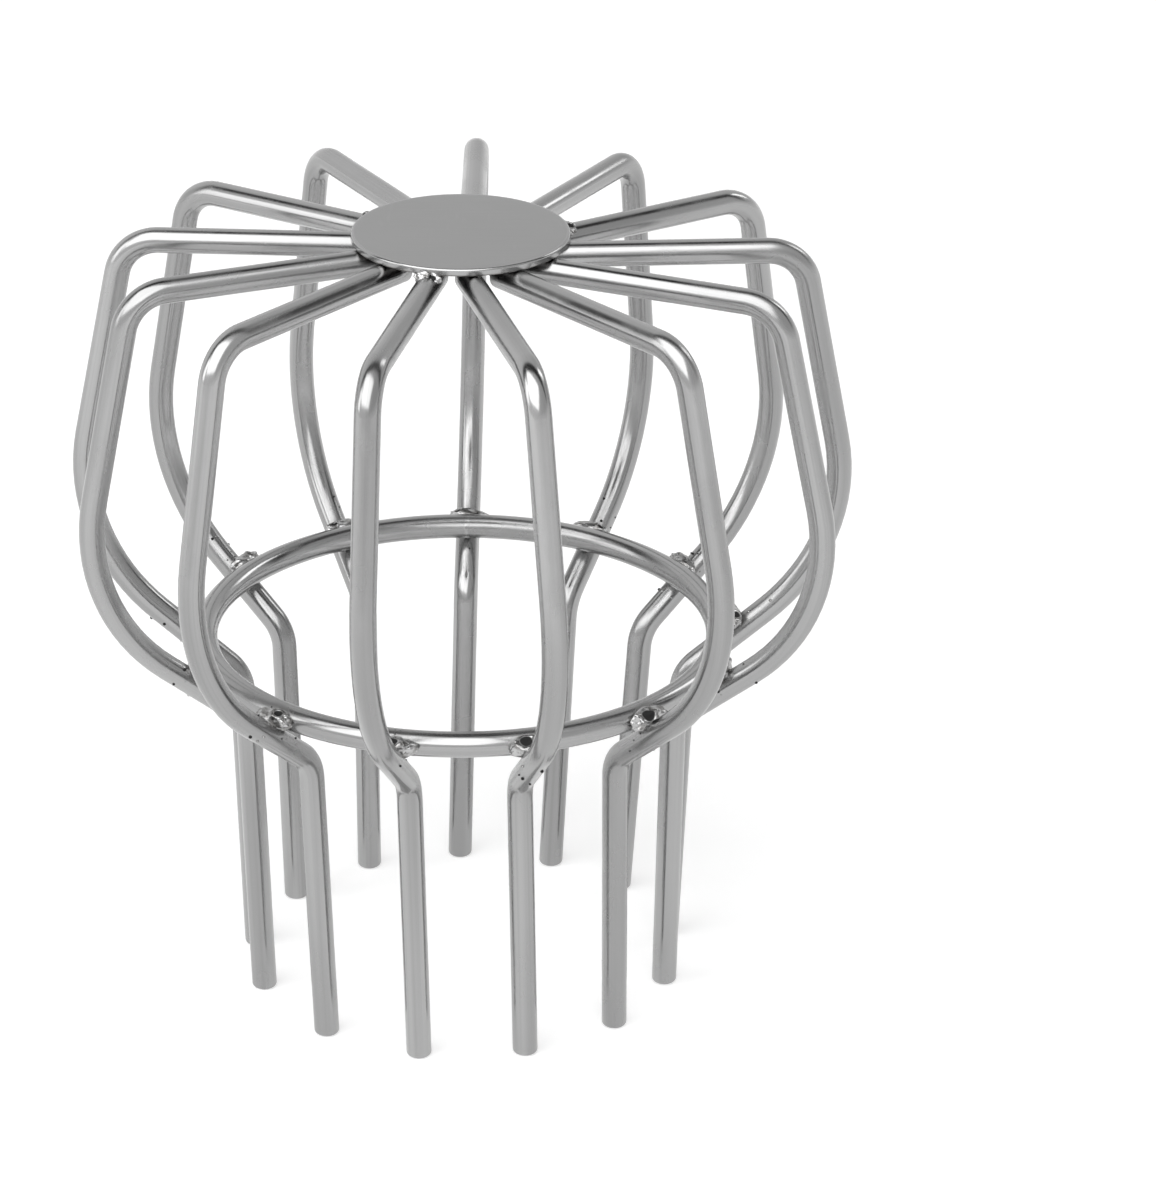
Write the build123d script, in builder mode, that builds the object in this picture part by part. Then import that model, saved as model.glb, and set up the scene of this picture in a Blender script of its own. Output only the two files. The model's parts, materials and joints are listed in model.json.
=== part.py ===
from build123d import *
import os
from math import cos, pi, radians, sin

# A wire strainer for the mouth of a drain or downpipe. Bent wires stand round a ring like the ribs of a
# basket, under a round cap. Their legs plug into the pipe and the wide cage above keeps leaves out.
# Millimetres, +Z up, origin on the axis at the level of the feet, with rib 1 at the back (+Y).

# Stock
wire_d = 3.5            # round wire of the ribs and of the ring
cap_d = 29.5            # round sheet cap over the inner ends of the ribs
cap_t = 1.0
cap_edge = 0.35         # rounding of the cap's blanked upper edge
foot_round = 0.6        # rounding of the cut ends of the legs

# Outline of one rib along the centre of its wire: radius and height of each corner before it is bent
height = 110.0          # from the feet to the top of the cap
shoulder_r = 46.0
shoulder_drop = 0.6     # the top run falls this much from its inner end to the shoulder
bulge_r = 55.0
bulge_z = 62.4
neck_r = 31.2
neck_z = 42.6
foot_r = 29.8
shoulder_bend = 6.0     # bend radii at the centre of the wire
bulge_bend = 27.0
neck_bend = 5.7
foot_trim = 0.5         # extra leg that the level cut takes off

# Ribs and ring
rib_count = 13
end_gap = 1.5           # between neighbouring wires where they end under the cap
ring_rise = 8.8         # from the neck corner up the slope to where the ring touches
fit_up_gap = 0.05       # between ring and ribs before welding

# The ribs are set by hand, so they lean and crowd a little, in degrees
lean_mean = -1.3        # every rib leans to the same side
lean_sway = -1.5        # and more so on the right (+X) than on the left
crowding = -1.2         # ribs shift round the ring towards one side
crowding_bearing = 40.0
strays = {3: (1.0, -1.0), 9: (-0.5, -0.8), 10: (-2.0, 0.0), 11: (0.0, -0.8)}  # rib: extra turn, extra lean

# Weld beads: long round drops that lie across the ribs
ring_bead_l = 5.6       # in the upper crevice between ring and rib
ring_bead_d = 2.7
ring_bead_rise = 1.9    # from the point where ring and rib touch, up the rib
ring_bead_lift = 0.5    # and off the rib towards the ring
cap_bead_l = 3.4        # on the end of each rib, under the cap
cap_bead_d = 2.4
cap_bead_drop = 0.8     # from the underside of the cap
cap_bead_in = 0.5       # from the end of the rib towards the axis
rim_bead_l = 3.0        # on the rim of the cap, where some ribs are tacked once more
rim_bead_d = 2.0
rim_beads = (3, 8, 12)

# Worked out from the sizes above
wire_r = wire_d / 2
cap_z = height - cap_t
inner_r = rib_count * (wire_d + end_gap) / (2 * pi)
top_z = cap_z - wire_r

bulge = Vector(bulge_r, bulge_z)
neck = Vector(neck_r, neck_z)
leg_end = Vector(foot_r, 0) + (Vector(foot_r, 0) - neck).normalized() * foot_trim
corners = [
    (inner_r, top_z),
    (shoulder_r, top_z - shoulder_drop),
    (bulge.X, bulge.Y),
    (neck.X, neck.Y),
    (leg_end.X, leg_end.Y),
]

# The ring lies inside the straight slope between neck and bulge, and touches every rib there
slope = (bulge - neck).normalized()
inward = Vector(-slope.Y, slope.X)
ring_centre = neck + slope * ring_rise + inward * (wire_d + fit_up_gap)
ring_r, ring_z = ring_centre.X, ring_centre.Y


def rib_plane(number):
    """The plane of one rib: X runs outwards, Y up along the rib, and the plane leans at the level of the ring."""
    even = 90 - (number - 1) * 360 / rib_count
    turn, tilt = strays.get(number, (0, 0))
    bearing = radians(even + crowding * cos(radians(even - crowding_bearing)) + turn)
    lean = radians(lean_mean + lean_sway * cos(radians(even)) + tilt)
    outward = Vector(cos(bearing), sin(bearing), 0)
    upward = Vector(-sin(bearing) * sin(lean), cos(bearing) * sin(lean), cos(lean))
    return Plane(Vector(0, 0, ring_z) - upward * ring_z, x_dir=outward, z_dir=outward.cross(upward))


def across_rib(number, at):
    """A plane through a point given by its radius and height on the rib: X runs across the rib, Z outwards."""
    plane = rib_plane(number)
    return Plane(plane.from_local_coords(Vector(at.X, at.Y, 0)), x_dir=plane.z_dir, z_dir=plane.x_dir)


# The cap is blanked from sheet and lies on the inner ends of the ribs
with BuildPart() as cap:
    with BuildSketch(Plane.XY.offset(cap_z)):
        Circle(cap_d / 2)
    extrude(amount=cap_t)
    fillet(cap.edges().group_by(Axis.Z)[-1], cap_edge)

# The ring is one closed turn of the same wire
with BuildPart() as ring:
    with BuildSketch(Plane.XZ):
        with Locations((ring_r, ring_z)):
            Circle(wire_r)
    revolve(axis=Axis.Z)


def make_rib(number):
    """One length of wire: in under the cap, down round the bulge, in to the neck and down to the foot."""
    with BuildPart() as rib:
        with BuildLine(rib_plane(number)) as centre:
            FilletPolyline(*corners, radius=[shoulder_bend, bulge_bend, neck_bend])
        with BuildSketch(Plane(centre.line @ 0, z_dir=centre.line % 0)):
            Circle(wire_r)
        sweep()
        # The legs are cut level, so that the feet stand on one plane
        split(bisect_by=Plane.XY, keep=Keep.TOP)
        fillet(rib.faces().sort_by(Axis.Z)[0].edges(), foot_round)
    return rib.part


def make_bead(plane, length, diameter, *joined):
    """A drop of weld metal, long in the plane's X, run against the pieces that it joins."""
    with BuildPart() as bead:
        with Locations(plane):
            Cylinder(diameter / 2, length - diameter, rotation=(0, 90, 0))
            with Locations(((diameter - length) / 2, 0), ((length - diameter) / 2, 0)):
                Sphere(diameter / 2)
        for piece in joined:
            add(piece, mode=Mode.SUBTRACT)
    return bead.part


ring_bead_at = ring_centre - inward * (wire_r - ring_bead_lift) + slope * ring_bead_rise
cap_bead_at = Vector(inner_r - cap_bead_in, cap_z - cap_bead_drop)
rim_bead_at = Vector(cap_d / 2, cap_z)

pieces = {"cap": cap.part, "ring": ring.part}
for number in range(1, rib_count + 1):
    rib = make_rib(number)
    pieces[f"rib_{number:02d}"] = rib
    ring_bead = make_bead(across_rib(number, ring_bead_at), ring_bead_l, ring_bead_d, rib, ring.part)
    pieces[f"ring_weld_{number:02d}"] = ring_bead
    cap_bead = make_bead(across_rib(number, cap_bead_at), cap_bead_l, cap_bead_d, rib, cap.part)
    pieces[f"cap_weld_{number:02d}"] = cap_bead
    if number in rim_beads:
        rim_bead = make_bead(across_rib(number, rim_bead_at), rim_bead_l, rim_bead_d, rib, cap.part)
        pieces[f"rim_weld_{number:02d}"] = rim_bead

os.makedirs("parts", exist_ok=True)
for name, piece in pieces.items():
    piece.label = name
    export_step(piece, f"parts/{name}.step")
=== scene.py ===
import bpy
import json
import numpy as np
from math import cos, pi, radians, sin
from mathutils import Matrix, Vector

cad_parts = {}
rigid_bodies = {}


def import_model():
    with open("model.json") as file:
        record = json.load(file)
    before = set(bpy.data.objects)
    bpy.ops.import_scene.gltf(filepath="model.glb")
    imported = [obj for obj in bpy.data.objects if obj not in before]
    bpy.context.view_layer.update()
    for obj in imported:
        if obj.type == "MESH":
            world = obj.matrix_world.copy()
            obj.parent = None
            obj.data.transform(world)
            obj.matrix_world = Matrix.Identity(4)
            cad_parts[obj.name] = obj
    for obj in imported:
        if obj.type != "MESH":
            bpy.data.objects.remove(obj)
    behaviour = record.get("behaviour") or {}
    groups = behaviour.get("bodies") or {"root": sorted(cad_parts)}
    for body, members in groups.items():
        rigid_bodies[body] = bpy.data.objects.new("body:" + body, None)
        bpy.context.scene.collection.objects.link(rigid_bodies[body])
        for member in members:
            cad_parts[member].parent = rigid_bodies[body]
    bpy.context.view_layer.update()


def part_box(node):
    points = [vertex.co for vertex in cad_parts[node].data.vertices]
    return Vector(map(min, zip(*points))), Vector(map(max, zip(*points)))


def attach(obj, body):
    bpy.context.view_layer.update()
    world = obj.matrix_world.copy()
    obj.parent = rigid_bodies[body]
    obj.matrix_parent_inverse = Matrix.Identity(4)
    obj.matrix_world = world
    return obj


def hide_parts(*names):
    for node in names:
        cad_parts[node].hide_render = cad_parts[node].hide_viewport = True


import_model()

# Ribs
# Thirteen lengths of round stainless wire, drawn through a die and bent cold: in under the cap, down round
# the bulge, in to the neck and straight down to a sheared foot. They are set and welded by hand, so each
# leans a little. Drawing leaves soft bands and hair lines along the wire.

rib_count = 13
ring_low, ring_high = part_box("ring")
cap_low, cap_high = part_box("cap")
wire_radius = (ring_high.z - ring_low.z) / 2
ring_height = (ring_high.z + ring_low.z) / 2

# The outline along the centre of the wire: radius and height of each corner before it is bent
end_gap = 0.0015
inner_radius = rib_count * (2 * wire_radius + end_gap) / (2 * pi)
top_height = cap_low.z - wire_radius
shoulder_radius, shoulder_drop = 0.0460, 0.0006
shoulder = np.array([shoulder_radius, top_height - shoulder_drop])
bulge = np.array([0.0550, 0.0624])
neck = np.array([0.0312, 0.0426])
foot = np.array([0.0298, 0.0])
outline = np.array([[inner_radius, top_height], shoulder, bulge, neck, foot])
shoulder_bend, bulge_bend, neck_bend = 0.0060, 0.0270, 0.0057

# How each rib stands, in degrees: a common lean and crowding, and an extra turn and lean for four of them
lean_mean, lean_sway = -1.3, -1.5
crowding, crowding_bearing = -1.2, 40.0
strays = {3: (1.0, -1.0), 9: (-0.5, -0.8), 10: (-2.0, 0.0), 11: (0.0, -0.8)}

# The cut ends: how far each is rounded, two rows of points on its flat face as shares of the wire's radius,
# and the length over which a leg shears to a level foot
end_round, foot_round = 0.0002, 0.0006
end_face, foot_face = np.array([0.05, 0.6]), np.array([0.45, 0.05])
round_steps = 7
level_length = 0.004

# Where ring and rib touch, on the straight slope between neck and bulge, and the way up it and off it
ring_rise = 0.0088
slope = (bulge - neck) / np.linalg.norm(bulge - neck)
inward = np.array([-slope[1], slope[0]])
touch = neck + slope * ring_rise + inward * wire_radius

# The welds, from that point and from the rib's end under the cap, and how far round them the wire is burnt
# and darkened with painted shade
ring_weld_rise, ring_weld_lift = 0.0019, 0.0005
cap_weld_in, cap_weld_drop = 0.0005, 0.0008
scorch_and_shade_reach = 0.0032

# Each wire's marks start this much further along the drawn stock, so that no two ribs are marked alike
stock_step = 0.37


def rib_axes(number):
    """The origin of a rib's plane, its outward and upward directions and the one across it, as rows."""
    even = 90 - (number - 1) * 360 / rib_count
    turn, tilt = strays.get(number, (0, 0))
    bearing = radians(even + crowding * cos(radians(even - crowding_bearing)) + turn)
    lean = radians(lean_mean + lean_sway * cos(radians(even)) + tilt)
    outward = np.array([cos(bearing), sin(bearing), 0.0])
    upward = np.array([-sin(bearing) * sin(lean), cos(bearing) * sin(lean), cos(lean)])
    return np.array([0, 0, ring_height]) - upward * ring_height, outward, upward, np.cross(outward, upward)


def on_rib(number, flat):
    """The place of a point of a rib's plane that is given by its radius and height there."""
    origin, outward, upward, across = rib_axes(number)
    return origin + outward * flat[0] + upward * flat[1]


def ring_weld_place(number):
    """The middle of the weld in the upper crevice between ring and rib."""
    return on_rib(number, touch + slope * ring_weld_rise + inward * ring_weld_lift)


def cap_weld_place(number):
    """The middle of the weld on the rib's end under the cap."""
    return on_rib(number, (inner_radius - cap_weld_in, cap_low.z - cap_weld_drop))


def stretches(lengths, turns, longest=0.002, widest=radians(4)):
    """Distances along a run of straights and bends, close enough together for each bend to look round."""
    counts = np.ceil(np.maximum(lengths / longest, np.abs(turns) / widest)).astype(int)
    starts = np.concatenate([[0], np.cumsum(lengths)[:-1]])
    parts = [start + length * np.arange(n) / n for start, length, n in zip(starts, lengths, counts)]
    return np.concatenate(parts + [[lengths.sum()]])


def bent_wire(corners, radii):
    """Distances, points and headings along a bent wire, in its own plane.

    The heading is level on each straight and turns in step with the distance along each bend. Each point adds
    a chord to the one before, of the length that an arc of that turn spans.
    """
    runs = np.diff(corners, axis=0)
    headings = np.unwrap(np.arctan2(runs[:, 1], runs[:, 0]))
    turns = np.diff(headings)
    cut = radii * np.tan(np.abs(turns) / 2)
    lengths = np.zeros(2 * len(runs) - 1)
    lengths[0::2] = np.hypot(*runs.T) - np.append(cut, 0) - np.append(0, cut)
    lengths[1::2] = radii * np.abs(turns)
    turning = np.zeros(len(lengths))
    turning[1::2] = turns
    along = stretches(lengths, turning)
    heading = np.interp(along, np.append(0, np.cumsum(lengths)), np.repeat(headings, 2))
    chord = np.diff(along) * np.sinc(np.diff(heading) / (2 * pi))
    middle = (heading[1:] + heading[:-1]) / 2
    steps = chord[:, None] * np.stack([np.cos(middle), np.sin(middle)], axis=1)
    return along, corners[0] + np.vstack([[0, 0], np.cumsum(steps, axis=0)]), heading


def skin(name, rings, lane=None, scorch_and_shade=None, closed=False):
    """A smooth surface through rings of points, where rings[i, j] is point j of ring i.

    Each face joins two neighbours on one ring to the same two on the next. An open row of rings is shut with
    one flat face at each end, and a closed row joins its last ring to its first. Lane and scorch, where they
    are given, become attributes of the points.
    """
    rows, around = rings.shape[:2]
    i, j = np.meshgrid(np.arange(rows if closed else rows - 1), np.arange(around), indexing="ij")
    after, beside = (i + 1) % rows, (j + 1) % around
    corners = [i * around + j, i * around + beside, after * around + beside, after * around + j]
    faces = np.stack(corners, axis=-1).reshape(-1, 4).tolist()
    if not closed:
        faces += [list(range(around))[::-1], list(range((rows - 1) * around, rows * around))]
    mesh = bpy.data.meshes.new(name)
    mesh.from_pydata(rings.reshape(-1, 3), [], faces)
    mesh.polygons.foreach_set("use_smooth", np.ones(len(faces), bool))
    if lane is not None:
        lanes = mesh.attributes.new("lane", "FLOAT_VECTOR", "POINT")
        lanes.data.foreach_set("vector", lane.astype(np.float32).ravel())
    if scorch_and_shade is not None:
        burnt = mesh.attributes.new("scorch_and_shade", "FLOAT", "POINT")
        burnt.data.foreach_set("value", scorch_and_shade.astype(np.float32).ravel())
    piece = bpy.data.objects.new(name, mesh)
    bpy.context.scene.collection.objects.link(piece)
    return piece


def tube(name, along, centre, normal, side, radius, offset, welds, closed=False, around=32):
    """A round wire along a path.

    Each point is the path's point plus the radius times (cos a normal + sin a side), with a going once round.
    The attribute lane is (offset + distance along, r cos a, r sin a), for marks that run with the wire, and
    scorch_and_shade is exp(-(d / reach) squared), where d is the distance to the nearest weld; it marks
    where the wire is darkened, partly for burning and partly as painted shade.
    """
    a = np.linspace(0, 2 * pi, around, endpoint=False)
    spread = np.cos(a)[:, None] * normal[:, None] + np.sin(a)[:, None] * side[:, None]
    rings = centre[:, None] + np.broadcast_to(radius, along.shape)[:, None, None] * spread
    stock = offset + along[:, None]
    lane = np.stack(np.broadcast_arrays(stock, wire_radius * np.cos(a), wire_radius * np.sin(a)), -1)
    away = np.linalg.norm(rings[:, :, None] - np.array(welds), axis=-1).min(axis=-1)
    return skin(name, rings, lane, np.exp(-(away / scorch_and_shade_reach) ** 2), closed)


def make_rib(number):
    """A wire along the rib's outline, with an eased cut at its inner end and a rounded foot, cut level."""
    origin, outward, upward, across = rib_axes(number)
    ground = -origin[2] / upward[2]
    corners = outline.copy()
    corners[-1] += (neck - foot) * ground / (neck[1] - foot[1])
    along, flat, heading = bent_wire(corners, np.array([shoulder_bend, bulge_bend, neck_bend]))
    length = along[-1]
    ease = np.linspace(0, pi / 2, round_steps)
    start = end_round * (1 - np.cos(ease))
    finish = length - foot_round * (1 - np.sin(ease))
    plain = along[(along > end_round) & (along < length - foot_round)]
    stations = np.concatenate([[0, 0], start, plain, finish, [length, length]])
    radius = np.concatenate([
        wire_radius * end_face,
        wire_radius - end_round * (1 - np.sin(ease)),
        np.full(len(plain), wire_radius),
        wire_radius - foot_round * (1 - np.cos(ease)),
        wire_radius * foot_face,
    ])
    turned = np.interp(stations, along, heading)
    r = np.interp(stations, along, flat[:, 0])
    z = np.interp(stations, along, flat[:, 1])
    centre = origin + r[:, None] * outward + z[:, None] * upward
    forward = np.cos(turned)[:, None] * outward + np.sin(turned)[:, None] * upward
    normal = -np.sin(turned)[:, None] * outward + np.cos(turned)[:, None] * upward
    side = np.broadcast_to(across, normal.shape)
    # The last few millimetres of the leg shear over to a level end
    level = np.clip(1 - (length - stations) / level_length, 0, 1)[:, None]
    normal = normal - forward * level * normal[:, 2:] / forward[:, 2:]
    side = side - forward * level * side[:, 2:] / forward[:, 2:]
    welds = [ring_weld_place(number), cap_weld_place(number)]
    name = f"rib_wire_{number:02d}"
    return tube(name, stations, centre, normal, side, radius, number * stock_step, welds)


def node(tree, kind, settings=None, **inputs):
    """A node of one kind. Settings are its own properties.

    Inputs are values or sockets for its inputs, called by name, with _ for a space, or by order as i0, i1.
    """
    made = tree.nodes.new(kind)
    for key, value in (settings or {}).items():
        setattr(made, key, value)
    for key, value in inputs.items():
        by_order = key[0] == "i" and key[1:].isdigit()
        socket = made.inputs[int(key[1:]) if by_order else key.replace("_", " ")]
        if isinstance(value, bpy.types.NodeSocket):
            tree.links.new(value, socket)
        else:
            socket.default_value = value
    return made


def noise(tree, vector, stretch, detail):
    """Noise on a vector that is first stretched by three factors, so that its grains are long or round."""
    scaled = node(tree, "ShaderNodeVectorMath", {"operation": "MULTIPLY"}, i0=vector, i1=stretch).outputs[0]
    return node(tree, "ShaderNodeTexNoise", i0=scaled, Scale=1.0, Detail=detail, Roughness=0.5).outputs[0]


def span(tree, value, low, high, start=0.0, end=1.0):
    """A value carried smoothly from one range to another, and held at the ends."""
    smooth = {"interpolation_type": "SMOOTHSTEP"}
    return node(tree, "ShaderNodeMapRange", smooth, i0=value, i1=low, i2=high, i3=start, i4=end).outputs[0]


def sums(tree, operation, first, second):
    """Two values added, multiplied or otherwise joined, by the name of the operation."""
    return node(tree, "ShaderNodeMath", {"operation": operation}, i0=first, i1=second).outputs[0]


def blend(tree, factor, first, second):
    """A colour between two colours."""
    return node(tree, "ShaderNodeMix", {"data_type": "RGBA"}, i0=factor, i6=first, i7=second).outputs[2]


def grey(level, warmth=0.0):
    """A grey, or a slightly warm one, as a colour."""
    return (level * (1 + warmth), level, level * (1 - warmth), 1.0)


def drawing_marks():
    """Marks of the drawing die along the vector Lane: soft bands, hair lines and handling patches, 0 to 1."""
    group = bpy.data.node_groups.new("drawing marks", "ShaderNodeTree")
    group.interface.new_socket("Lane", in_out="INPUT", socket_type="NodeSocketVector")
    for name in ("Band", "Hair", "Patch"):
        group.interface.new_socket(name, in_out="OUTPUT", socket_type="NodeSocketFloat")
    lane = group.nodes.new("NodeGroupInput").outputs["Lane"]
    out = group.nodes.new("NodeGroupOutput")
    long_bands, hair_lines = (18.0, 480.0, 480.0), (10.0, 2600.0, 2600.0)
    round_patches = (120.0, 260.0, 260.0)
    band = span(group, noise(group, lane, long_bands, 0.0), 0.25, 0.75)
    hair = span(group, noise(group, lane, hair_lines, 1.0), 0.40, 0.85)
    patch = span(group, noise(group, lane, round_patches, 3.0), 0.35, 0.7)
    for name, value in (("Band", band), ("Hair", hair), ("Patch", patch)):
        group.links.new(value, out.inputs[name])
    return group


def weld_marks():
    """Darkening round a weld, partly burnt wire and partly painted shade, and pinholes, from the attribute
    scorch_and_shade and the place on the object.
    """
    group = bpy.data.node_groups.new("weld marks", "ShaderNodeTree")
    for name in ("SootAndShade", "Pinhole"):
        group.interface.new_socket(name, in_out="OUTPUT", socket_type="NodeSocketFloat")
    out = group.nodes.new("NodeGroupOutput")
    scorch_and_shade = node(group, "ShaderNodeAttribute", {"attribute_name": "scorch_and_shade"}).outputs["Fac"]
    place = node(group, "ShaderNodeTexCoord").outputs["Object"]
    cloud = noise(group, place, (420.0, 420.0, 420.0), 3.0)
    # Near the welds, and so also under the cap, the wire is marked in a cloud to be darkened: partly sooty
    # wire and partly painted shade
    soot_and_shade = span(group, sums(group, "MULTIPLY", scorch_and_shade, sums(group, "ADD", cloud, 0.35)), 0.30, 0.75)
    cells = node(group, "ShaderNodeTexVoronoi", {"feature": "F1"}, Vector=place, Scale=1300.0)
    spots = span(group, cells.outputs["Distance"], 0.10, 0.22, 1.0, 0.0)
    some = span(group, noise(group, place, (600.0, 600.0, 600.0), 1.0), 0.55, 0.6)
    near = span(group, scorch_and_shade, 0.25, 0.5)
    pinhole = sums(group, "MULTIPLY", sums(group, "MULTIPLY", spots, some), near)
    group.links.new(soot_and_shade, out.inputs["SootAndShade"])
    group.links.new(pinhole, out.inputs["Pinhole"])
    return group


drawn = drawing_marks()
scorched_and_shaded = weld_marks()


def wire_metal():
    """Drawn stainless wire: mid grey in light and dark bands, dulled in patches, and darkened round the
    welds, partly sooty and partly painted shade.
    """
    dark_band, light_band, hair_line = grey(0.31), grey(0.39), grey(0.24)
    # The first grey here darkens the wire round the welds, partly sooty and partly painted shade
    soot_and_shade_grey, hole_black = grey(0.10, 0.04), grey(0.01)
    hair_share, soot_and_shade_share, soot_rough, hole_deep = 0.30, 0.35, 0.12, 6.0
    clean_rough, patch_rough = 0.19, 0.28
    metal = bpy.data.materials.new("drawn wire")
    metal.use_nodes = True
    tree = metal.node_tree
    shader = tree.nodes["Principled BSDF"]
    shader.inputs["Metallic"].default_value = 1.0
    lane = node(tree, "ShaderNodeAttribute", {"attribute_name": "lane"}).outputs["Vector"]
    marks = node(tree, "ShaderNodeGroup", {"node_tree": drawn}, Lane=lane).outputs
    welds = node(tree, "ShaderNodeGroup", {"node_tree": scorched_and_shaded}).outputs
    banded = blend(tree, marks["Band"], dark_band, light_band)
    lined = blend(tree, sums(tree, "MULTIPLY", marks["Hair"], hair_share), banded, hair_line)
    # Round the welds, under the cap as well, the grey is darkened, partly sooty and partly painted shade
    sooted_and_shaded = blend(tree, sums(tree, "MULTIPLY", welds["SootAndShade"], soot_and_shade_share), lined, soot_and_shade_grey)
    tree.links.new(blend(tree, welds["Pinhole"], sooted_and_shaded, hole_black), shader.inputs["Base Color"])
    dull = span(tree, marks["Patch"], 0.0, 1.0, clean_rough, patch_rough)
    rough = sums(tree, "ADD", dull, sums(tree, "MULTIPLY", welds["SootAndShade"], soot_rough))
    tree.links.new(rough, shader.inputs["Roughness"])
    depth = sums(tree, "SUBTRACT", marks["Patch"], marks["Hair"])
    depth = sums(tree, "SUBTRACT", depth, sums(tree, "MULTIPLY", welds["Pinhole"], hole_deep))
    bump = node(tree, "ShaderNodeBump", Strength=0.25, Distance=0.000008, Height=depth)
    tree.links.new(bump.outputs[0], shader.inputs["Normal"])
    return metal


drawn_wire = wire_metal()
for number in range(1, rib_count + 1):
    rib = make_rib(number)
    rib.data.materials.append(drawn_wire)
    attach(rib, "root")
    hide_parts(f"rib_{number:02d}")

# Ring
# One turn of the same wire, rolled round and closed, that lies inside the sloping wires and is welded to
# every rib. It keeps the ribs apart and stops the cage at the mouth of the pipe.

ring_radius = (ring_high.x - ring_low.x) / 2 - wire_radius
ring_steps = 300
ring_stock = 9.1


def make_ring():
    """A circle of wire: the path is the ring's radius times (cos b, sin b) at its own height."""
    b = pi / 2 + np.linspace(0, 2 * pi, ring_steps, endpoint=False)
    flat = np.stack([np.cos(b), np.sin(b), np.zeros_like(b)], axis=1)
    centre = ring_radius * flat + np.array([0, 0, ring_height])
    down = np.broadcast_to(np.array([0.0, 0.0, -1.0]), centre.shape)
    along = ring_radius * (b - b[0])
    welds = [ring_weld_place(number) for number in range(1, rib_count + 1)]
    return tube("ring_wire", along, centre, flat, down, wire_radius, ring_stock, welds, closed=True)


ring = make_ring()
ring.data.materials.append(drawn_wire)
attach(ring, "root")
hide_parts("ring")

# Cap
# A round blank punched from stainless sheet, laid on the inner ends of the ribs and welded to them from
# below. The punch rolls its upper edge over, and that edge shines where the flat face is satin.

cap_radius = (cap_high.x - cap_low.x) / 2
edge_roll, edge_burr = 0.00035, 0.00010
cap_middle = 0.0002


def make_cap():
    """A profile turned once round the axis: out along the underside, up the rim and in along the top."""
    quarter = np.linspace(0, pi / 2, 8)
    thick = cap_high.z - cap_low.z
    under = np.linspace(cap_middle, cap_radius - edge_burr, 14)[:-1]
    burr_r = cap_radius - edge_burr * (1 - np.sin(quarter))
    burr_z = edge_burr * (1 - np.cos(quarter))
    roll_r = cap_radius - edge_roll * (1 - np.cos(quarter))
    roll_z = thick - edge_roll * (1 - np.sin(quarter))
    over = np.linspace(cap_radius - edge_roll, cap_middle, 16)[1:]
    r = np.concatenate([under, burr_r, roll_r, over])[:, None]
    z = cap_low.z + np.concatenate([np.zeros(len(under)), burr_z, roll_z, np.full(len(over), thick)])
    b = np.linspace(0, 2 * pi, 200, endpoint=False)
    return skin("cap_sheet", np.stack(np.broadcast_arrays(r * np.cos(b), r * np.sin(b), z[:, None]), -1))


def sheet_metal():
    """Satin rolled sheet: an even grey with a fine grain one way, faint scuffs, a bright edge, and painted
    shade that darkens its underside.
    """
    # The last of these greys is painted shade for the underside
    dark_face, light_face, scuff_grey, under_shade_grey = grey(0.345), grey(0.365), grey(0.44), grey(0.11, 0.05)
    scuff_share, edge_polish = 0.12, 0.22
    edge_start, edge_end = cap_radius - 0.0006, cap_radius - 0.0002
    # Heights over which the painted shade under the cap fades in
    shade_top, shade_full = cap_low.z + 0.00045, cap_low.z + 0.00005
    metal = bpy.data.materials.new("rolled sheet")
    metal.use_nodes = True
    tree = metal.node_tree
    shader = tree.nodes["Principled BSDF"]
    shader.inputs["Metallic"].default_value = 1.0
    place = node(tree, "ShaderNodeTexCoord").outputs["Object"]
    grain = noise(tree, place, (90.0, 5200.0, 5200.0), 2.0)
    cloud = noise(tree, place, (70.0, 70.0, 70.0), 3.0)
    scuff = span(tree, noise(tree, place, (900.0, 130.0, 500.0), 2.0), 0.62, 0.72)
    level = node(tree, "ShaderNodeVectorMath", {"operation": "MULTIPLY"}, i0=place, i1=(1.0, 1.0, 0.0))
    radius = node(tree, "ShaderNodeVectorMath", {"operation": "LENGTH"}, i0=level.outputs[0]).outputs["Value"]
    edge = span(tree, radius, edge_start, edge_end)
    face = blend(tree, cloud, dark_face, light_face)
    scuffed = blend(tree, sums(tree, "MULTIPLY", scuff, scuff_share), face, scuff_grey)
    # Painted shade: the underside and the lowest part of the rim are darkened towards near black, patchy with
    # the cloud
    height = node(tree, "ShaderNodeSeparateXYZ", i0=place).outputs["Z"]
    below = span(tree, height, shade_top, shade_full)
    shaded_under = span(tree, sums(tree, "MULTIPLY", below, sums(tree, "ADD", cloud, 0.15)), 0.25, 0.8)
    tree.links.new(blend(tree, shaded_under, scuffed, under_shade_grey), shader.inputs["Base Color"])
    satin = span(tree, grain, 0.3, 0.7, 0.38, 0.42)
    rough = sums(tree, "SUBTRACT", satin, sums(tree, "MULTIPLY", edge, edge_polish))
    tree.links.new(rough, shader.inputs["Roughness"])
    bump = node(tree, "ShaderNodeBump", Strength=0.15, Distance=0.000006, Height=grain)
    tree.links.new(bump.outputs[0], shader.inputs["Normal"])
    return metal


cap = make_cap()
cap.data.materials.append(sheet_metal())
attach(cap, "root")
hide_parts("cap")

# Weld beads
# Drops of melted stainless wire that froze in the crevice between rib and ring, on the end of a rib under
# the cap, and over the cap's rim where a rib was tacked again. They are lumpy and bright, with a crater or
# a few gas holes where the melt drew back.

# Length and diameter of each kind of bead, before its lumps
ring_bead, cap_bead, rim_bead = (0.0058, 0.0029), (0.0034, 0.0023), (0.0034, 0.0019)
rim_bead_drop = 0.0005

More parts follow.
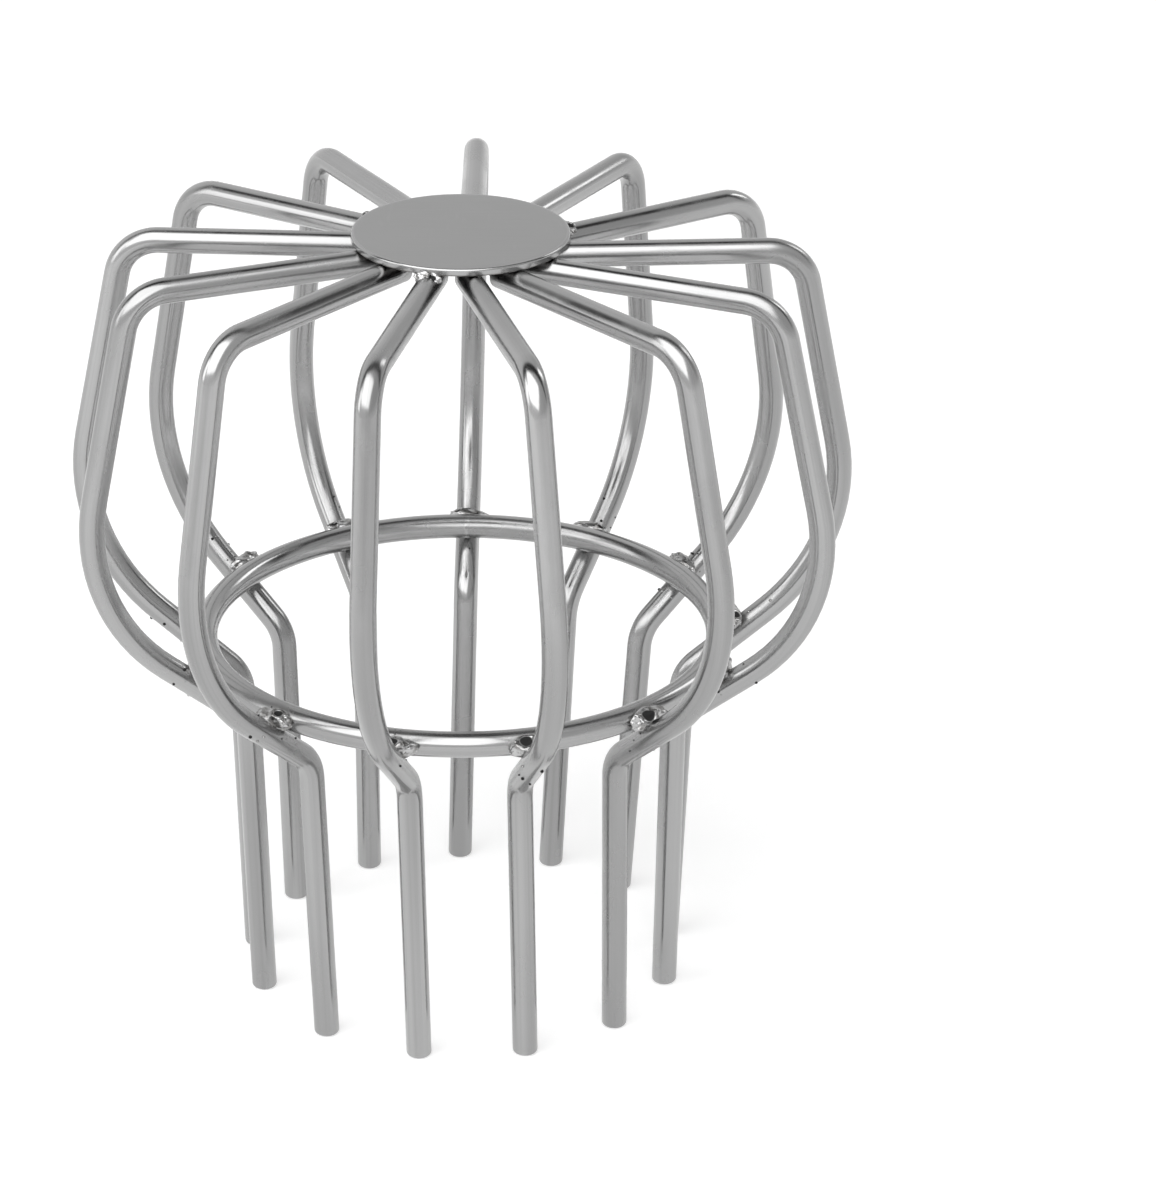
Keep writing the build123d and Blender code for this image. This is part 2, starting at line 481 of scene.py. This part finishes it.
# Where the craters open on the four front welds, across the rib, up it and off it, and how wide they are
ring_craters = {
    6: ((0.20, 0.92, 0.25), 0.0009),
    7: ((0.24, 0.82, 0.45), 0.0008),
    8: ((0.10, 0.82, 0.45), 0.0008),
    9: ((-0.33, 0.60, 0.65), 0.0006),
}
# Elsewhere they are small. At the ring they open to one side and the other in turn, and under the cap down
# and towards its middle.
# On the rim they open across the rib, outwards and up.
small_crater = 0.0005
cap_crater = (0.2, -0.8, -0.5)
rim_craters = {3: (0.5, 0.2, 0.8), 8: (-0.5, 0.7, 0.5), 12: (-0.5, 0.2, 0.8)}


def bead(name, place, axes, size, seed, crater, width=small_crater, depth=0.16, lumps=0.24):
    """A lumpy drop: half its length, or half its diameter, times a unit vector d times a swelling of its own.

    The swelling is 1 plus three sets of waves sin(f . d + p), each twice as fine and half as high as the
    last, with f and p picked by the seed. Where s is the distance to the crater's middle over the crater's
    width, the crater takes off depth times exp(-s cubed), and the lip round it adds its own height times
    exp(-((s - its place) / its width) squared). The attribute scorch_and_shade is 1 inside the crater, where
    the crater is painted black for the shade of its hollow, and 0 past it.
    """
    lip_height, lip_at, lip_width, black_to = 0.14, 1.5, 0.4, 1.15
    octaves, waves, coarsest = 3, 8, 2.4
    length, diameter = size
    picks = np.random.default_rng(seed)
    t = np.linspace(0.01, pi - 0.01, 60)[:, None]
    b = np.linspace(0, 2 * pi, 72, endpoint=False)
    d = np.stack(np.broadcast_arrays(np.cos(t), np.sin(t) * np.cos(b), np.sin(t) * np.sin(b)), -1)
    swell = np.ones(d.shape[:2])
    for octave in range(octaves):
        f = picks.normal(0, coarsest * 2 ** octave, (waves, 3))
        p = picks.uniform(0, 2 * pi, waves)
        swell = swell + lumps / 2 ** octave * np.sin(d @ f.T + p).mean(axis=-1)
    half = np.array([length, diameter, diameter]) / 2
    middle = np.array(crater) / np.linalg.norm(crater)
    reach = np.linalg.norm((d - middle) * half, axis=-1) / width
    lip = lip_height * np.exp(-((reach - lip_at) / lip_width) ** 2)
    swell = swell - depth * np.exp(-reach ** 3) + lip
    rings = place + (swell[..., None] * d * half) @ axes
    return skin(name, rings, scorch_and_shade=np.exp(-(reach / black_to) ** 6))


def weld_metal():
    """Melted stainless wire: bright and smooth, browned a little, with black gas holes and craters painted
    black for the shade of their hollows.
    """
    # The last grey is the black of gas holes and oxide specks, and the painted shade inside the craters
    dull_melt, bright_melt, shade_and_oxide_black = grey(0.22, 0.02), grey(0.46), grey(0.035)
    melt_rough, burnt_rough, hole_deep = 0.24, 0.7, 2.0
    metal = bpy.data.materials.new("melted wire")
    metal.use_nodes = True
    tree = metal.node_tree
    shader = tree.nodes["Principled BSDF"]
    shader.inputs["Specular IOR Level"].default_value = 0.0
    place = node(tree, "ShaderNodeTexCoord").outputs["Object"]
    scorch_and_shade = node(tree, "ShaderNodeAttribute", {"attribute_name": "scorch_and_shade"}).outputs["Fac"]
    cloud = noise(tree, place, (900.0, 900.0, 900.0), 3.0)
    bright = blend(tree, span(tree, cloud, 0.36, 0.60), dull_melt, bright_melt)
    # Painted shade: inside each crater the melt is made black for the shade of its hollow; on the spatter the
    # same mask picks out the black oxide specks
    black = span(tree, scorch_and_shade, 0.35, 0.75)
    cells = node(tree, "ShaderNodeTexVoronoi", {"feature": "F1"}, Vector=place, Scale=1500.0)
    spots = span(tree, cells.outputs["Distance"], 0.12, 0.22, 1.0, 0.0)
    holes = sums(tree, "MULTIPLY", spots, span(tree, cloud, 0.52, 0.6))
    dark = sums(tree, "MAXIMUM", black, holes)
    tree.links.new(blend(tree, dark, bright, shade_and_oxide_black), shader.inputs["Base Color"])
    tree.links.new(sums(tree, "SUBTRACT", 1.0, dark), shader.inputs["Metallic"])
    tree.links.new(span(tree, dark, 0.0, 1.0, melt_rough, burnt_rough), shader.inputs["Roughness"])
    ripple = noise(tree, place, (2200.0, 2200.0, 2200.0), 2.0)
    depth = sums(tree, "SUBTRACT", ripple, sums(tree, "MULTIPLY", holes, hole_deep))
    bump = node(tree, "ShaderNodeBump", Strength=0.4, Distance=0.00003, Height=depth)
    tree.links.new(bump.outputs[0], shader.inputs["Normal"])
    return metal


melted = weld_metal()


def settle(made, node_name):
    """Gives a bead its metal, puts it in the root body and hides the node that it stands for."""
    made.data.materials.append(melted)
    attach(made, "root")
    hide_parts(node_name)


for number in range(1, rib_count + 1):
    origin, outward, upward, across = rib_axes(number)
    up_slope = outward * slope[0] + upward * slope[1]
    off_slope = outward * inward[0] + upward * inward[1]
    either_side = (0.6 * (-1) ** number, 0.7, 0.6)
    crater, width = ring_craters.get(number, (either_side, small_crater))
    axes = np.array([across, up_slope, off_slope])
    made = bead(f"ring_bead_{number:02d}", ring_weld_place(number), axes, ring_bead, number, crater, width)
    settle(made, f"ring_weld_{number:02d}")
    axes = np.array([across, outward, upward])
    made = bead(f"cap_bead_{number:02d}", cap_weld_place(number), axes, cap_bead, 100 + number, cap_crater)
    settle(made, f"cap_weld_{number:02d}")

for number, crater in rim_craters.items():
    origin, outward, upward, across = rib_axes(number)
    axes = np.array([across, outward, upward])
    place = on_rib(number, (cap_radius, cap_low.z - rim_bead_drop))
    made = bead(f"rim_bead_{number:02d}", place, axes, rim_bead, 200 + number, crater, depth=0.25, lumps=0.5)
    settle(made, f"rim_weld_{number:02d}")

# Spatter
# Tiny drops and burnt specks that flew from the weld pool and stuck to the wire beside it. Some are bright
# metal and some are black oxide, and they are left as they are on such cheap wirework.

specks_per_rib = 9
speck_nearest, speck_farthest = 0.0022, 0.0062
speck_smallest, speck_largest = 0.00010, 0.00025
black_share = 0.65


def specks(name, places, sizes, black, rows=6, around=8):
    """Small balls: each is its place plus its size times a unit vector at rows by around angles.

    All of them are worked out at once. The attribute scorch is 1 on the black ones.
    """
    t = np.linspace(0.05, pi - 0.05, rows)[:, None]
    b = np.linspace(0, 2 * pi, around, endpoint=False)
    d = np.stack(np.broadcast_arrays(np.cos(t), np.sin(t) * np.cos(b), np.sin(t) * np.sin(b)), -1)
    points = places[:, None] + sizes[:, None, None] * d.reshape(-1, 3)
    i, j = np.meshgrid(np.arange(rows - 1), np.arange(around), indexing="ij")
    beside = (j + 1) % around
    corners = [i * around + j, (i + 1) * around + j, (i + 1) * around + beside, i * around + beside]
    sides = np.stack(corners, axis=-1).reshape(-1, 4)
    count = rows * around
    ends = np.array([np.arange(around), count - 1 - np.arange(around)])
    start = count * np.arange(len(places))[:, None, None]
    faces = (sides + start).reshape(-1, 4).tolist() + (ends + start).reshape(-1, around).tolist()
    mesh = bpy.data.meshes.new(name)
    mesh.from_pydata(points.reshape(-1, 3), [], faces)
    mesh.polygons.foreach_set("use_smooth", np.ones(len(mesh.polygons), bool))
    burnt = mesh.attributes.new("scorch_and_shade", "FLOAT", "POINT")
    burnt.data.foreach_set("value", np.repeat(black, count).astype(np.float32))
    made = bpy.data.objects.new(name, mesh)
    bpy.context.scene.collection.objects.link(made)
    return made


throw = np.random.default_rng(71)
landed = []
for number in range(1, rib_count + 1):
    mesh = bpy.data.objects[f"rib_wire_{number:02d}"].data
    wire_points = np.empty(3 * len(mesh.vertices), np.float32)
    mesh.vertices.foreach_get("co", wire_points)
    wire_points = wire_points.reshape(-1, 3)
    away = np.linalg.norm(wire_points - ring_weld_place(number), axis=1)
    near = np.flatnonzero((away > speck_nearest) & (away < speck_farthest))
    landed.append(wire_points[throw.choice(near, specks_per_rib, replace=False)])
landed = np.concatenate(landed)
sizes = throw.uniform(speck_smallest, speck_largest, len(landed))
black = throw.random(len(landed)) < black_share
spatter = specks("weld_spatter", landed, sizes, black)
spatter.data.materials.append(melted)
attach(spatter, "root")

# Floor and light
# A plain white floor and a pale room, with one broad soft lamp high in front, a small one on the left and
# a narrow one behind. The floor takes the object's shadow, and its glow shows to the camera and the metal.

floor_half = 4.0
floor_near, floor_far = 0.3, 1.8
near_glow, far_glow = 0.53, 0.95


def seen_rays(tree):
    """1 for the rays that look at the background: from the camera, off metal or through glass."""
    path = tree.nodes.new("ShaderNodeLightPath").outputs
    seen = sums(tree, "MAXIMUM", path["Is Camera Ray"], path["Is Glossy Ray"])
    return sums(tree, "MAXIMUM", seen, path["Is Transmission Ray"])


def make_floor():
    """A flat square in the plane of the feet, that glows a little more where it is far away."""
    corners = [(-1, -1, 0), (1, -1, 0), (1, 1, 0), (-1, 1, 0)]
    mesh = bpy.data.meshes.new("floor")
    mesh.from_pydata(floor_half * np.array(corners), [], [(0, 1, 2, 3)])
    floor = bpy.data.objects.new("floor", mesh)
    bpy.context.scene.collection.objects.link(floor)
    paint = bpy.data.materials.new("white floor")
    paint.use_nodes = True
    tree = paint.node_tree
    shader = tree.nodes["Principled BSDF"]
    shader.inputs["Base Color"].default_value = (0.70, 0.70, 0.70, 1.0)
    shader.inputs["Roughness"].default_value = 0.9
    shader.inputs["Specular IOR Level"].default_value = 0.0
    shader.inputs["Emission Color"].default_value = (1.0, 1.0, 1.0, 1.0)
    place = node(tree, "ShaderNodeTexCoord").outputs["Object"]
    away = node(tree, "ShaderNodeVectorMath", {"operation": "LENGTH"}, i0=place).outputs["Value"]
    glow = span(tree, away, floor_near, floor_far, near_glow, far_glow)
    tree.links.new(sums(tree, "MULTIPLY", seen_rays(tree), glow), shader.inputs["Emission Strength"])
    mesh.materials.append(paint)


make_floor()

# The room lights the object evenly, the camera sees it white, and the metal sees grey walls that are paler
# on the left, a dark slot across the ceiling behind the object, and white near the floor
room_light = (0.32, 0.32, 0.32, 1.0)
left_wall, right_wall = 1.0, 0.72
slot_grey, skirting = grey(0.02), grey(1.0)

room = bpy.data.worlds.new("room")
bpy.context.scene.world = room
room.use_nodes = True
tree = room.node_tree
plain = tree.nodes["Background"]
plain.inputs["Color"].default_value = room_light
looking = tree.nodes.new("ShaderNodeTexCoord").outputs["Generated"]
way = node(tree, "ShaderNodeSeparateXYZ", i0=looking).outputs
wall = span(tree, way["X"], -0.8, 0.8, left_wall, right_wall)
above = sums(tree, "MAXIMUM", way["Z"], 0.05)
ahead = sums(tree, "DIVIDE", way["Y"], above)
slot = sums(tree, "MULTIPLY", span(tree, ahead, 0.06, 0.14), span(tree, ahead, 0.66, 0.46))
slot = sums(tree, "MULTIPLY", slot, span(tree, way["Z"], 0.1, 0.3))
walled = node(tree, "ShaderNodeCombineColor", i0=wall, i1=wall, i2=wall).outputs[0]
slotted = blend(tree, slot, walled, slot_grey)
seen = tree.nodes.new("ShaderNodeBackground")
tree.links.new(blend(tree, span(tree, way["Z"], 0.22, 0.05), slotted, skirting), seen.inputs["Color"])
white = tree.nodes.new("ShaderNodeBackground")
white.inputs["Color"].default_value = (1.0, 1.0, 1.0, 1.0)
path = tree.nodes.new("ShaderNodeLightPath").outputs
off_metal = tree.nodes.new("ShaderNodeMixShader")
shiny_ray = sums(tree, "MAXIMUM", path["Is Glossy Ray"], path["Is Transmission Ray"])
tree.links.new(shiny_ray, off_metal.inputs[0])
tree.links.new(plain.outputs[0], off_metal.inputs[1])
tree.links.new(seen.outputs[0], off_metal.inputs[2])
straight = tree.nodes.new("ShaderNodeMixShader")
tree.links.new(path["Is Camera Ray"], straight.inputs[0])
tree.links.new(off_metal.outputs[0], straight.inputs[1])
tree.links.new(white.outputs[0], straight.inputs[2])
tree.links.new(straight.outputs[0], tree.nodes["World Output"].inputs["Surface"])

lit_point = Vector((0.0, 0.0, 0.06))


def softbox(name, place, width, height, glow):
    """A flat lamp that looks at the object. Its power is pi times its area times how bright its face is."""
    light = bpy.data.lights.new(name, "AREA")
    light.shape = "RECTANGLE"
    light.size = width
    light.size_y = height
    light.energy = pi * width * height * glow
    made = bpy.data.objects.new(name, light)
    bpy.context.scene.collection.objects.link(made)
    made.location = place
    made.rotation_euler = (Vector(place) - lit_point).to_track_quat("Z", "Y").to_euler()
    made.visible_camera = False


softbox("main softbox", (-0.28, -0.60, 0.92), width=1.5, height=1.25, glow=2.2)
softbox("left softbox", (-1.00, -0.20, 0.45), width=0.4, height=0.6, glow=1.8)
softbox("back softbox", (0.80, 0.60, 0.70), width=0.20, height=0.5, glow=3.0)

# Camera
# A long lens in front of the object and a little to the right, that looks down on the cap. It is turned
# aside a little, so that the object stands left of the middle of the picture.

camera_target = Vector((0.0, 0.0, 0.060))
camera_distance = 0.637
camera_height = radians(24.43)
camera_bearing = radians(0.64)
look_right, look_down, tip = radians(1.451), radians(0.371), radians(-0.20)

lens = bpy.data.cameras.new("camera")
lens.lens = 138.0
lens.sensor_width = 36.0
lens.clip_start = 0.01
lens.clip_end = 30.0
camera = bpy.data.objects.new("camera", lens)
bpy.context.scene.collection.objects.link(camera)
level = cos(camera_height)
back = Vector((sin(camera_bearing) * level, -cos(camera_bearing) * level, sin(camera_height)))
aim = Matrix.Rotation(camera_bearing, 4, "Z") @ Matrix.Rotation(pi / 2 - camera_height, 4, "X")
aim = aim @ Matrix.Rotation(-look_right, 4, "Y") @ Matrix.Rotation(-look_down, 4, "X")
aim = aim @ Matrix.Rotation(tip, 4, "Z")
camera.matrix_world = Matrix.Translation(camera_target + back * camera_distance) @ aim
bpy.context.scene.camera = camera

bpy.context.scene.view_settings.view_transform = "Standard"
